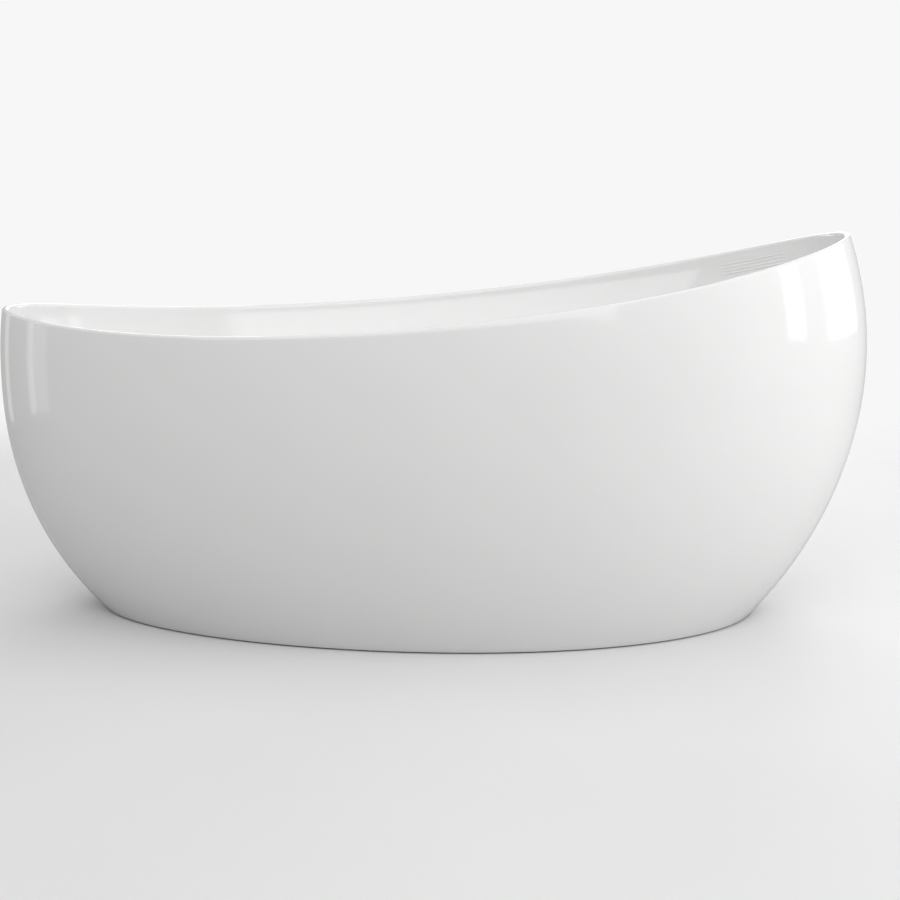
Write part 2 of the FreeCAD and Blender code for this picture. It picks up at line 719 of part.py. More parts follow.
collar_top = "floor_dry_z - lower_gasket"
collar = cylinder("waste_collar", "waste_collar_radius", "waste_collar_height",
                  z=collar_top + " - waste_collar_height")
barrel = cylinder("waste_barrel", "barrel_radius", collar_top + " - barrel_bottom_z", z="barrel_bottom_z")
tail = cylinder("waste_tail", "tail_radius", "barrel_bottom_z - tail_bottom_z", z="tail_bottom_z")
hose_spigot = sideways("waste_hose_spigot", "spigot_radius", "spigot_reach", 90, "port_z")
gland = sideways("waste_cable_gland", "gland_radius", "gland_reach", size("gland_angle"), "cable_port_z")
waste_solid = fuse("waste_solid", collar, barrel, tail, hose_spigot, gland)
cavity = cylinder("waste_cavity", "barrel_bore", "barrel_neck_z - barrel_bottom_z - barrel_floor",
                  z="barrel_bottom_z + barrel_floor")
neck = cylinder("waste_neck", "flange_tail_radius", collar_top + " - barrel_neck_z", z="barrel_neck_z")
tail_bore = cylinder("waste_tail_bore", "tail_bore", "barrel_bottom_z + barrel_floor - tail_bottom_z",
                     z="tail_bottom_z")
hose_bore = sideways("waste_hose_bore", "spigot_bore", "spigot_reach", 90, "port_z")
cable_bore = sideways("waste_cable_bore", "cable_radius", "gland_reach", size("gland_angle"),
                      "cable_port_z")
pin = turned(cylinder("lift_lever_pin", "pin_radius", "pin_length"), X_AXIS, 90)
put(pin, "-lever_pivot_x", "pin_length / 2", "lever_pivot_z")
cut("waste_body", waste_solid, cavity, neck, tail_bore, hose_bore, cable_bore, pin)
spider("waste_spider", "flange_bore", "spider_boss", "stem_radius + running_clearance", "spider_height",
       "spider_rim", "spider_arm", "spider_z")

cap_z = flange_z + " + flange_plate + plug_gap"
ring("plug_seal", "seal_radius", "seal_bore", "plug_gap - seal_clearance",
     z=flange_z + " + flange_plate + seal_clearance")
cap = turned_body("plug_cap", [
    (None, None), ("plug_radius", None), ("plug_radius", "plug_plate"), (None, "plug_dome")])
filleted(cap, "plug_rounding", "plug_edge", circle_at(size("plug_radius"), size("plug_plate")))
put(cap, z=cap_z)
cylinder("plug_stem", "stem_radius", cap_z + " - stem_bottom_z", z="stem_bottom_z")

lever_hub = cylinder("lever_hub_outside", "lever_hub", "lever_width")
lever_arm = block("lever_arm", "lever_reach", "lever_width", "lever_thickness")
lever_tip = cylinder("lever_tip_round", "lever_tip", "lever_width")
lever_bore = cylinder("lever_bore", "pin_radius + running_clearance", "lever_width")
for roll in (lever_hub, lever_tip, lever_bore):
    put(turned(roll, X_AXIS, 90), y="lever_width / 2")
put(lever_tip, x="lever_reach")
put(lever_arm, y="-lever_width / 2", z="-lever_thickness / 2")
lever = cut("lift_lever", fuse("lever_solid", lever_hub, lever_arm, lever_tip), lever_bore)
put(turned(lever, Y_AXIS, size("lever_droop")), x="-lever_pivot_x", z="lever_pivot_z")


# ---------------------------------------------------------------- trap and outlet

trap_top = "trap_bottom_z + trap_height"
cup = cylinder("trap_cup", "trap_radius", "trap_height", z="trap_bottom_z")
trap_neck = cylinder("trap_neck", "trap_neck_radius", "trap_neck_height", z=trap_top)
outlet = turned(cylinder("trap_outlet", "outlet_radius", "outlet_spigot_x"), Y_AXIS, -90)
put(outlet, z="outlet_z")
trap_solid = fuse("trap_solid", cup, trap_neck, outlet)
cup_inside = cylinder("trap_inside", "trap_radius - trap_wall", "trap_height - 2 * trap_wall",
                      z="trap_bottom_z + trap_wall")
neck_bore = cylinder("trap_neck_bore", "tail_radius", "trap_wall + trap_neck_height",
                     z=trap_top + " - trap_wall")
outlet_bore = turned(cylinder("trap_outlet_bore", "outlet_bore", "outlet_spigot_x"), Y_AXIS, -90)
put(outlet_bore, z="outlet_z")
cut("trap_body", trap_solid, cup_inside, neck_bore, outlet_bore)
seal_z = trap_top + " + trap_neck_height"
ring("trap_seal", "trap_neck_radius", "tail_radius", "trap_seal", z=seal_z)
nut_z = trap_top + " + trap_nut_gap"
nut = hexagon("trap_nut_outside", "trap_nut_radius", "trap_nut_height", z=nut_z)
nut_thread = cylinder("trap_nut_thread", "trap_neck_radius", "trap_neck_height + trap_seal - trap_nut_gap",
                      z=nut_z)
nut_bore = cylinder("trap_nut_bore", "tail_radius", "trap_nut_height", z=nut_z)
cut("trap_nut", nut, nut_thread, nut_bore)


def bent_tube(label, points, radii, outer, inner=0):
    """Tube along straight runs joined by tangent arcs; hollow when it has an inner radius."""
    edges = []
    start = points[0]
    for before, corner, after, radius in zip(points, points[1:], points[2:], radii):
        back = (before - corner).normalize()
        forth = (after - corner).normalize()
        half_turn = (math.pi - back.getAngle(forth)) / 2
        setback = radius * math.tan(half_turn)
        entry = corner + back * setback
        leave = corner + forth * setback
        crown = corner + (back + forth).normalize() * (radius / math.cos(half_turn) - radius)
        edges.append(Part.makeLine(start, entry))
        edges.append(Part.Arc(entry, crown, leave).toShape())
        start = leave
    edges.append(Part.makeLine(start, points[-1]))
    path = Part.Wire(edges)
    heading = (points[1] - points[0]).normalize()
    tube = swept(path, points[0], heading, outer)
    if inner:
        tube = tube.cut(swept(path, points[0], heading, inner))
    print(label, "radii", [round(r) for r in radii], "length", round(path.Length), "fill",
          round(tube.Volume / (math.pi * (outer ** 2 - inner ** 2) * path.Length), 4))
    return tube


def swept(path, start, heading, radius):
    section = Part.Wire([Part.makeCircle(radius, start, heading)])
    return path.makePipeShell([section], True, False)


def corner_radii(points):
    """Largest arc that each corner's two runs leave room for."""
    radii = []
    for before, corner, after in zip(points, points[1:], points[2:]):
        shorter = min((before - corner).Length, (after - corner).Length)
        turn = math.pi - (before - corner).getAngle(after - corner)
        radii.append(CORNER_SHARE * shorter / math.tan(turn / 2))
    return radii


elbow_radius = size("outlet_z") - size("drop_bottom_z") - size("outlet_radius")
elbow_route = [Vector(-size("outlet_spigot_x"), 0, size("outlet_z")),
               Vector(-size("drop_x"), 0, size("outlet_z")),
               Vector(-size("drop_x"), 0, size("drop_bottom_z"))]
elbow = bent_tube("outlet_bend", elbow_route, [elbow_radius], size("outlet_radius"), size("outlet_bore"))
socket_length = size("socket_end_x") - size("socket_start_x")
socket_base = Vector(-size("socket_end_x"), 0, size("outlet_z"))
socket = Part.makeCylinder(size("socket_radius"), socket_length, socket_base, X_AXIS)
spigot_end = Vector(-size("outlet_spigot_x"), 0, size("outlet_z"))
spigot_space = Part.makeCylinder(size("outlet_radius"), socket_length, spigot_end, X_AXIS)
passage = Part.makeCylinder(size("outlet_bore"), socket_length, socket_base, X_AXIS)
moulding("outlet_bend", elbow.fuse(socket.cut(spigot_space).cut(passage)))


# ---------------------------------------------------------------- overflow on the basin's wall

def on_wall(piece):
    """Carry a piece made along local Z to the overflow's place on the wall."""
    piece.Placement = overflow_frame.multiply(piece.Placement)
    return piece


face_back = "face_tube_depth + face_lift"
face_front = face_back + " + face_plate"
face = turned_body("overflow_faceplate", [
    ("face_bore", None), ("face_tube_radius", None), ("face_tube_radius", face_back),
    ("face_radius", face_back), ("face_radius", face_front), ("face_bore", face_front)])
filleted(face, "face_edge", "face_rounding", circle_at(size("face_radius"), size(face_front)))
face.Placement = Placement(Vector(0, 0, -size("face_tube_depth")), Rotation())
on_wall(face)
on_wall(ring("overflow_gasket", "housing_collar", "waste_hole_radius", "wall_gasket", z="-housing_front"))

housing_back = "-housing_front - housing_depth"
shell = cylinder("housing_shell", "housing_radius", "housing_depth", z=housing_back)
front_collar = cylinder("housing_front_collar", "housing_collar", "housing_collar_depth",
                        z="-housing_front - housing_collar_depth")


def downwards(label, radius, reach, angle):
    """Cylinder that lies in the wall's plane and leaves the overflow's axis at an angle from local X."""
    tube = cylinder(label, radius, reach)
    tube.Placement = Placement(Vector(), Rotation(Z_AXIS, angle) * Rotation(Y_AXIS, 90))
    return put(tube, z="-overflow_spigot_depth")


straight_down = -90
housing_solid = fuse("housing_solid", shell, front_collar,
                     downwards("housing_spigot", "spigot_radius", "overflow_spigot_reach", straight_down),
                     downwards("housing_gland", "gland_radius", "overflow_gland_reach",
                               size("overflow_gland_angle")))
housing_inside = cylinder("housing_inside", "housing_radius - housing_wall", "housing_depth - housing_wall",
                          z=housing_back + " + housing_wall")
housing_blank = cut(
    "housing_blank", housing_solid, housing_inside,
    downwards("housing_spigot_bore", "spigot_bore", "overflow_spigot_reach", straight_down),
    downwards("housing_cable_bore", "cable_radius", "overflow_gland_reach", size("overflow_gland_angle")))
bearing = spider("bearing_blank", "face_bore", "bearing_radius", "spindle_radius + running_clearance",
                 "bearing_height", "bearing_rim", "spider_arm", "-bearing_depth")
face_screw_top = "-bearing_depth + bearing_height + face_screw_head_height"
face_screws = [screw("face_screw_%d" % side, "face_screw_radius",
                     "housing_front + housing_depth " + face_screw_top, "face_screw_head",
                     "face_screw_head_height", "%d * face_screw_x" % side, "0", face_screw_top, False)
               for side in (-1, 1)]
cut("overflow_bearing", bearing, *face_screws)
on_wall(doc.getObject("overflow_bearing"))
on_wall(cut("overflow_housing", housing_blank, *face_screws))
on_wall(gathered("overflow_screws", face_screws))

knob = turned_body("overflow_knob", [
    ("spindle_radius", None), ("knob_hub", None), ("knob_hub", "knob_hub_height"),
    ("knob_radius", "knob_hub_height"), ("knob_radius", "knob_hub_height + knob_edge"),
    ("knob_crown", "knob_hub_height + knob_height"), (None, "knob_hub_height + knob_height"),
    (None, "knob_socket"), ("spindle_radius", "knob_socket")])
grip_sketch = rectangle_sketch(knob, "grip_outline", "grip_length", "grip_width",
                               "knob_hub_height + knob_edge")
padded(knob, "grip", grip_sketch, "knob_height - knob_edge + grip_height")
filleted(knob, "grip_ends", "grip_end_radius", upright)
knob.Placement = Placement(Vector(0, 0, size("knob_back") - size("knob_hub_height")), Rotation())
on_wall(knob)
spindle = cylinder("spindle_bar", "spindle_radius", "spindle_length", z="-spindle_back")
on_wall(gathered("knob_spindle", [spindle]))
on_wall(ring("cable_drum", "drum_radius", "spindle_radius", "drum_height", z="-drum_back"))


# ---------------------------------------------------------------- hose and control cable

def wall_point(angle, reach):
    """Point in the overflow's port plane, and the outward direction there."""
    turn = math.radians(angle)
    local = Vector(math.cos(turn), math.sin(turn), 0)
    base = Vector(0, 0, -size("overflow_spigot_depth"))
    return overflow_frame.multVec(base + local * reach), overflow_frame.Rotation.multVec(local)


def port_point(angle, reach, z):
    turn = math.radians(angle)
    return Vector(math.cos(turn) * reach, math.sin(turn) * reach, z)


hose_start, hose_heading = wall_point(straight_down, size("overflow_spigot_reach") - size("hose_grip"))
hose_route = [
    hose_start,
    hose_start + hose_heading * size("hose_drop"),
    Vector(0, size("hose_turn_y"), size("port_z")),
    port_point(90, size("spigot_reach") - size("hose_grip"), size("port_z")),
]
moulding("overflow_hose", bent_tube("overflow_hose", hose_route, corner_radii(hose_route),
                                    size("hose_radius"), size("hose_bore")))

cable_start, cable_heading = wall_point(size("overflow_gland_angle"),
                                        size("overflow_gland_reach") - size("cable_entry"))
gland_end = port_point(size("gland_angle"), size("gland_reach") - size("cable_entry"), size("cable_port_z"))
gland_heading = port_point(size("gland_angle"), 1, 0)
cable_route = [
    cable_start,
    cable_start + cable_heading * size("cable_lead_out"),
    *CABLE_CORNERS,
    gland_end + gland_heading * size("cable_lead_in"),
    gland_end,
]
moulding("control_cable", bent_tube("control_cable", cable_route, corner_radii(cable_route),
                                    size("cable_radius")))

clips = []
for spot, base, heading in (("overflow", hose_start + hose_heading * size("clip_setback"), hose_heading),
                            ("waste", hose_route[-1] + Y_AXIS * size("clip_setback"), Y_AXIS)):
    band = Part.makeCylinder(size("clip_radius"), size("clip_width"), base, heading)
    clips.append(band.cut(Part.makeCylinder(size("hose_radius"), size("clip_width"), base, heading)))
hose_clips = doc.addObject("Part::Feature", "hose_clips")
hose_clips.Shape = Part.makeCompound(clips)


# ---------------------------------------------------------------- checks and files

NODES = [
    "basin", "skirt", "rim_adhesive", "floor_board", "board_screws", "block_screws",
    "foot_inserts", "foot_lock_nuts",
    "waste_gasket_upper", "waste_flange", "waste_gasket_lower", "waste_body", "waste_spider",
    "plug_seal", "plug_cap", "plug_stem", "lift_lever", "lift_lever_pin",
    "trap_body", "trap_seal", "trap_nut", "outlet_bend",
    "overflow_faceplate", "overflow_gasket", "overflow_housing", "overflow_bearing", "overflow_screws",
    "overflow_knob", "knob_spindle", "cable_drum", "overflow_hose", "hose_clips", "control_cable",
]
for name, x, x_text in rail_positions():
    NODES.append("rail_" + name)
    for side, sign in SIDES:
        for kind in ("skirt_block", "foot_stud", "foot_pad"):
            NODES.append("%s_%s_%s" % (kind, name, side))

doc.recompute()
for feature in doc.Objects:
    if "Invalid" in feature.State or "Error" in feature.State:
        raise RuntimeError("%s did not build: %s" % (feature.Label, feature.State))

os.makedirs("parts", exist_ok=True)
for node in NODES:
    shape = doc.getObject(node).Shape
    if shape.isNull() or not shape.isValid():
        raise RuntimeError(node + " has no valid shape")
    shape.exportStep("parts/%s.step" % node)
print(len(NODES), "nodes written")
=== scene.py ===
"""Looks of the freestanding egg-shaped bathtub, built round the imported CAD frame. Metres, +Z up."""
import bmesh
import bpy
import math
import numpy as np
from mathutils import Matrix, Vector


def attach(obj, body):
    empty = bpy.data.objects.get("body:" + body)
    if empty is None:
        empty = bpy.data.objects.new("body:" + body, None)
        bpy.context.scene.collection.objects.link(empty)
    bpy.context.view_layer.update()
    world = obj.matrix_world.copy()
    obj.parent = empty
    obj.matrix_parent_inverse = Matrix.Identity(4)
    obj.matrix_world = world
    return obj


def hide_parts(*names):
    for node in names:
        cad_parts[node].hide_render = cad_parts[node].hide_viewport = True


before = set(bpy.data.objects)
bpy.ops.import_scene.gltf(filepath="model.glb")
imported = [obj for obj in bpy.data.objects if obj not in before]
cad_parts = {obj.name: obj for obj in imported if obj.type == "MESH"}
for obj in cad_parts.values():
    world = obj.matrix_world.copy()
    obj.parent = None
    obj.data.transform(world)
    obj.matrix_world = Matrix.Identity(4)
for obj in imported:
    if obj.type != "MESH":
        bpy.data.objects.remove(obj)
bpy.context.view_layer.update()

# ---------------------------------------------------------------- the mouldings' shape, as in the CAD model

HALF_LENGTH, HALF_WIDTH, EGG_SKEW = 0.950, 0.4725, 0.1
# Each profile: height where widest, height over which it closes, power.
HEAD_PROFILE = (0.563, 0.884, 1.966)
FOOT_PROFILE = (0.527, 0.777, 2.22)
SIDE_PROFILE = (0.523, 0.837, 2.15)
RIM_MIDDLE, RIM_RISE, RIM_BOW, RIM_CURL = 0.666, 0.088, 0.076, 0.020
SKIRT_BOTTOM = 0.003
# Insets from the outer skin: the skirt's inside, the seam in the rim, and the basin's two faces.
SKIRT_INSIDE, SEAM_INSET, DRY_INSET, WET_INSET = 0.006, 0.0065, 0.007, 0.014
LEAN_SLOPE, LEAN_BLEND = 0.36, 0.040
WELL_TOP, FLOOR_WET, FLOOR_DRY, FLOOR_ROUND = 0.640, 0.165, 0.159, 0.155
HEAD_CLOSE, FOOT_CLOSE, SIDE_CLOSE = 3.6, 5, 5
WELL_BOTTOM_FRACTION = 0.9995           # the closing curve stops just short of its end
ROUND_START = 0.45                      # share of the well's depth where its rounding begins
WASTE_HOLE = 0.026
# Rounded edges, which the CAD model leaves sharp.
OUTER_ROUNDING, INNER_ROUNDING, BOTTOM_ROUNDING = 0.0055, 0.0072, 0.0015
SEAM_DROP = 0.0005                      # the hidden inner walls stop this far below the rim line

# ---------------------------------------------------------------- how finely the visible shells are divided

AROUND = 512
RIM_STEPS, BOTTOM_STEPS = 8, 4
SKIRT_OUTSIDE_STEPS, SKIRT_INSIDE_STEPS = 80, 30
WET_WALL_STEPS, WET_ROUND_STEPS, WET_FLOOR_STEPS = 36, 70, 10
DRY_WALL_STEPS, DRY_ROUND_STEPS, DRY_FLOOR_STEPS = 24, 40, 6
ROUND_CROWDING = 1.4                    # rings crowd towards the floor, where the wall turns fastest
SHARP_ANGLE = math.radians(35)
MERGE_DISTANCE = 1e-7
RIM_ITERATIONS = 20                     # enough for the rim height to settle

TURNS = np.pi / 2 + 2 * np.pi * np.arange(AROUND) / AROUND


def closing(fraction, power):
    """Share of the full reach that a superellipse leaves at a fraction of its height."""
    return (1 - np.minimum(np.abs(fraction), 1) ** power) ** (1 / power)


def rim_height(x):
    along = x / HALF_LENGTH
    return RIM_MIDDLE + RIM_RISE * along + RIM_BOW * along ** 2 + RIM_CURL * along ** 4


def half_sizes(z):
    """Reach of the outer skin towards the head, towards the foot and to either side."""
    head, foot, side = (closing((z - middle) / span, power)
                        for middle, span, power in (HEAD_PROFILE, FOOT_PROFILE, SIDE_PROFILE))
    return HALF_LENGTH * head, HALF_LENGTH * foot, HALF_WIDTH * side


def egg(head, foot, side, turns, z):
    """Points of a level egg-shaped outline, fuller towards the head."""
    x = (head - foot) / 2 + (head + foot) / 2 * np.cos(turns)
    y = side * np.sin(turns) * (1 + EGG_SKEW * np.cos(turns))
    return np.stack([x, y, z + 0 * x], axis=-1)


def skin(z, inset, turns=TURNS):
    """Points of the outer skin, moved in by an inset, at the given heights."""
    head, foot, side = half_sizes(z)
    return egg(head - inset, foot - inset, side - inset, turns, z)


def lining(z, inset, bottom, turns=TURNS):
    """Points of the basin's wall, which leans in below the rim and closes into a dished floor."""
    depth = rim_height(skin(z, inset, turns)[..., 0]) - z
    inward = inset + np.where(depth > 0, LEAN_SLOPE * (np.hypot(depth, LEAN_BLEND) - LEAN_BLEND), 0)
    fraction = np.maximum(0, WELL_TOP - z) / (WELL_TOP - bottom)
    head, foot, side = half_sizes(z)
    return egg((head - inward) * closing(fraction, HEAD_CLOSE),
               (foot - inward) * closing(fraction, FOOT_CLOSE),
               (side - inward) * closing(fraction, SIDE_CLOSE), turns, z)


def rim_line(inset, drop=0.0, turns=TURNS):
    """Heights at which a wall at an inset meets the rim line, or a line parallel to it below."""
    z = np.full(np.shape(turns), RIM_MIDDLE)
    for _ in range(RIM_ITERATIONS):
        z = rim_height(skin(z, inset, turns)[..., 0]) - drop
    return z


def rim_ring(inset, drop):
    """A ring of the skin moved in by an inset, a drop below the rim line."""
    return skin(rim_line(inset, drop), inset)


def rounding(inset, radius, from_wall):
    """Rings of a rounded rim edge, from the wall up to the land or from the land down."""
    rings = []
    for step in range(RIM_STEPS + 1):
        angle = math.pi / 2 * step / RIM_STEPS
        if from_wall:
            across, down = inset + radius * (1 - math.cos(angle)), radius * (1 - math.sin(angle))
        else:
            across, down = inset - radius * (1 - math.sin(angle)), radius * (1 - math.cos(angle))
        rings.append(rim_ring(across, down))
    return rings


def flat_rings(edge, hole_radius, steps):
    """Rings that lead across a flat from an egg to a round hole."""
    angles = np.arctan2(edge[:, 1], edge[:, 0])
    circle = np.stack([hole_radius * np.cos(angles), hole_radius * np.sin(angles), edge[:, 2]], axis=-1)
    return [edge + (circle - edge) * step / steps for step in range(1, steps + 1)]


def new_piece(name, vertices, faces, body="root"):
    """A mesh object from points and faces, carried by a body."""
    mesh = bpy.data.meshes.new(name)
    mesh.from_pydata([tuple(v) for v in vertices], [], faces)
    mesh.validate()
    piece = bpy.data.objects.new(name, mesh)
    bpy.context.scene.collection.objects.link(piece)
    tidy_mesh(mesh)
    if body:
        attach(piece, body)
    return piece


def tidy_mesh(mesh):
    """Join doubled points, face everything outward and shade it smooth between sharp edges."""
    work = bmesh.new()
    work.from_mesh(mesh)
    bmesh.ops.remove_doubles(work, verts=work.verts, dist=MERGE_DISTANCE)
    bmesh.ops.recalc_face_normals(work, faces=work.faces)
    work.to_mesh(mesh)
    work.free()
    mesh.shade_smooth()
    mesh.set_sharp_from_angle(angle=SHARP_ANGLE)


def grid_faces(rows, columns, wrap_rows=True):
    """Faces between rows of points, each row a closed ring."""
    faces = []
    for row in range(rows if wrap_rows else rows - 1):
        here, after = row * columns, (row + 1) % rows * columns
        for column in range(columns):
            beside = (column + 1) % columns
            faces.append((here + column, here + beside, after + beside, after + column))
    return faces


def ring_piece(name, rings):
    """A closed shell from rings of points, each joined to the next and the last to the first."""
    points = np.concatenate(rings)
    return new_piece(name, points, grid_faces(len(rings), len(rings[0])))


def apply_modifiers(piece):
    """Bake a piece's modifiers into its mesh."""
    graph = bpy.context.evaluated_depsgraph_get()
    baked = bpy.data.meshes.new_from_object(piece.evaluated_get(graph))
    piece.modifiers.clear()
    old = piece.data
    piece.data = baked
    bpy.data.meshes.remove(old)


# ---------------------------------------------------------------- materials

def finish_material(name, light, dark, roughness, grain=40, metallic=0.0, coat=0.0, coat_roughness=0.03,
                    bump=0.0, bump_grain=None, stretch=(1, 1, 1), roughness_spread=0.04, specular=0.5):
    """A node material whose colour and roughness vary a little over the piece, with a fine bump."""
    material = bpy.data.materials.new(name)
    material.use_nodes = True
    nodes, links = material.node_tree.nodes, material.node_tree.links
    shader = nodes["Principled BSDF"]
    shader.inputs["Metallic"].default_value = metallic
    shader.inputs["Coat Weight"].default_value = coat
    shader.inputs["Coat Roughness"].default_value = coat_roughness
    shader.inputs["Specular IOR Level"].default_value = specular
    place = nodes.new("ShaderNodeTexCoord")
    mapping = nodes.new("ShaderNodeMapping")
    mapping.inputs["Scale"].default_value = stretch
    links.new(place.outputs["Object"], mapping.inputs["Vector"])
    clouds = nodes.new("ShaderNodeTexNoise")
    clouds.inputs["Scale"].default_value = grain
    clouds.inputs["Detail"].default_value = 5
    links.new(mapping.outputs["Vector"], clouds.inputs["Vector"])
    colours = nodes.new("ShaderNodeValToRGB")
    colours.color_ramp.elements[0].position = 0.3
    colours.color_ramp.elements[1].position = 0.7
    colours.color_ramp.elements[0].color = (*dark, 1)
    colours.color_ramp.elements[1].color = (*light, 1)
    links.new(clouds.outputs["Fac"], colours.inputs["Fac"])
    links.new(colours.outputs["Color"], shader.inputs["Base Color"])
    gloss = nodes.new("ShaderNodeMapRange")
    gloss.inputs["To Min"].default_value = max(0.0, roughness - roughness_spread)
    gloss.inputs["To Max"].default_value = roughness + roughness_spread
    links.new(clouds.outputs["Fac"], gloss.inputs["Value"])
    links.new(gloss.outputs["Result"], shader.inputs["Roughness"])
    if bump:
        relief = nodes.new("ShaderNodeTexNoise")
        relief.inputs["Scale"].default_value = bump_grain or grain * 4
        relief.inputs["Detail"].default_value = 3
        links.new(mapping.outputs["Vector"], relief.inputs["Vector"])
        height = nodes.new("ShaderNodeBump")
        height.inputs["Strength"].default_value = 1.0
        height.inputs["Distance"].default_value = bump
        links.new(relief.outputs["Fac"], height.inputs["Height"])
        links.new(height.outputs["Normal"], shader.inputs["Normal"])
    return material


FINISHES = {
    "white_acrylic": finish_material(
        "white_acrylic", (0.875, 0.873, 0.87), (0.86, 0.858, 0.855), 0.10, grain=3,
        coat=0.35, coat_roughness=0.04, bump=0.00004, bump_grain=5, roughness_spread=0.02),
    "adhesive": finish_material(
        "adhesive", (0.80, 0.79, 0.74), (0.72, 0.71, 0.66), 0.45, bump=0.0005, bump_grain=60),
    "plywood": finish_material(
        "plywood", (0.56, 0.40, 0.24), (0.42, 0.28, 0.15), 0.6, grain=6, stretch=(1, 14, 1),
        bump=0.0004, bump_grain=50),
    "timber": finish_material(
        "timber", (0.60, 0.44, 0.27), (0.46, 0.31, 0.17), 0.6, grain=8, stretch=(1, 10, 10),
        bump=0.0004, bump_grain=60),
    "rail_steel": finish_material(
        "rail_steel", (0.10, 0.11, 0.12), (0.07, 0.075, 0.08), 0.38, bump=0.00015, bump_grain=300),
    "zinc_steel": finish_material(
        "zinc_steel", (0.72, 0.72, 0.70), (0.58, 0.59, 0.58), 0.32, metallic=1.0, grain=120,
        bump=0.00006, bump_grain=500),
    "chrome": finish_material(
        "chrome", (0.80, 0.81, 0.82), (0.74, 0.75, 0.76), 0.06, metallic=1.0, grain=30,
        roughness_spread=0.02),
    "brass": finish_material(
        "brass", (0.80, 0.62, 0.32), (0.66, 0.48, 0.22), 0.28, metallic=1.0, grain=90,
        bump=0.00006, bump_grain=400),
    "black_rubber": finish_material(
        "black_rubber", (0.035, 0.035, 0.036), (0.022, 0.022, 0.023), 0.7, bump=0.0002, bump_grain=250),
    "pad_rubber": finish_material(
        "pad_rubber", (0.06, 0.06, 0.062), (0.04, 0.04, 0.042), 0.75, bump=0.0003, bump_grain=220),
    "grey_plastic": finish_material(
        "grey_plastic", (0.36, 0.37, 0.38), (0.31, 0.32, 0.33), 0.4, bump=0.0001, bump_grain=350),
    "white_plastic": finish_material(
        "white_plastic", (0.82, 0.82, 0.81), (0.77, 0.77, 0.76), 0.35, bump=0.0001, bump_grain=350),
    "black_plastic": finish_material(
        "black_plastic", (0.05, 0.05, 0.052), (0.035, 0.035, 0.036), 0.42, bump=0.0001, bump_grain=350),
    "hose_plastic": finish_material(
        "hose_plastic", (0.70, 0.71, 0.72), (0.62, 0.63, 0.64), 0.42, bump=0.0001, bump_grain=350),
}


def finished(piece, slot):
    """Give a new piece the finish of one of the record's material slots."""
    piece.data.materials.clear()
    piece.data.materials.append(FINISHES[slot])
    return piece


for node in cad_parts.values():
    for holder in node.material_slots:
        holder.material = FINISHES[holder.material.name.split(".")[0]]


# ---------------------------------------------------------------- the two mouldings

def wall_levels(low, top, steps):
    """Heights from a low level to a top line, evenly spaced."""
    return [low + (top - low) * step / steps for step in range(1, steps + 1)]


def skirt_rings():
    """Rings of the skirt's skin: up the outside, over the rim's outer half and down the inside."""
    rings = []
    for step in range(BOTTOM_STEPS + 1):
        angle = math.pi / 2 * step / BOTTOM_STEPS
        inset = BOTTOM_ROUNDING * (1 - math.sin(angle))
        rings.append(skin(SKIRT_BOTTOM + BOTTOM_ROUNDING * (1 - math.cos(angle)) + 0 * TURNS, inset))
    top = rim_line(0, OUTER_ROUNDING)
    rings += [skin(z, 0) for z in wall_levels(SKIRT_BOTTOM + BOTTOM_ROUNDING, top, SKIRT_OUTSIDE_STEPS)]
    rings += rounding(0, OUTER_ROUNDING, True)[1:]
    rings.append(rim_ring(SEAM_INSET, 0))
    inside = wall_levels(SKIRT_BOTTOM, rim_line(SKIRT_INSIDE, SEAM_DROP), SKIRT_INSIDE_STEPS)
    rings += [skin(z, SKIRT_INSIDE) for z in reversed(inside)]
    rings.append(skin(SKIRT_BOTTOM + 0 * TURNS, SKIRT_INSIDE))
    return rings


def basin_rings():
    """Rings of the basin's skin: over the rim, down the bathing side and back up the dry side."""
    wet_start = rim_line(WET_INSET, INNER_ROUNDING)
    rings = [rim_ring(SEAM_INSET, 0)]
    rings += rounding(WET_INSET, INNER_ROUNDING, False)
    rings += well_rings(WET_INSET, FLOOR_WET, FLOOR_WET, wet_start, WET_WALL_STEPS, WET_ROUND_STEPS)
    rings += flat_rings(rings[-1], WASTE_HOLE, WET_FLOOR_STEPS)
    dry_start = rim_line(DRY_INSET, SEAM_DROP)
    under = well_rings(DRY_INSET, FLOOR_ROUND, FLOOR_DRY, dry_start, DRY_WALL_STEPS, DRY_ROUND_STEPS)
    rings += reversed([under[-1]] + flat_rings(under[-1], WASTE_HOLE, DRY_FLOOR_STEPS))
    rings += reversed(under[:-1])
    rings.append(rim_ring(DRY_INSET, SEAM_DROP))
    return rings


def well_rings(inset, bottom_round, bottom_flat, start, wall_steps, round_steps):
    """Rings down the basin's wall from a start line, crowded where it rounds into the flat floor."""
    last = min(WELL_BOTTOM_FRACTION, (WELL_TOP - bottom_flat) / (WELL_TOP - bottom_round))
    first_turn = math.asin(ROUND_START ** (FOOT_CLOSE / 2))
    last_turn = math.asin(last ** (FOOT_CLOSE / 2))
    round_top = WELL_TOP - (WELL_TOP - bottom_round) * ROUND_START
    rings = [lining(start + (round_top - start) * step / wall_steps, inset, bottom_round)
             for step in range(1, wall_steps + 1)]
    for step in range(1, round_steps + 1):
        turn = first_turn + (last_turn - first_turn) * (1 - (1 - step / round_steps) ** ROUND_CROWDING)
        fraction = math.sin(turn) ** (2 / FOOT_CLOSE)
        rings.append(lining(WELL_TOP - (WELL_TOP - bottom_round) * fraction + 0 * TURNS, inset, bottom_round))
    rings[-1][:, 2] = bottom_flat
    return rings


skirt_shell = finished(ring_piece("skirt_shell", skirt_rings()), "white_acrylic")
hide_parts("skirt")

# ---------------------------------------------------------------- the overflow's place on the wall

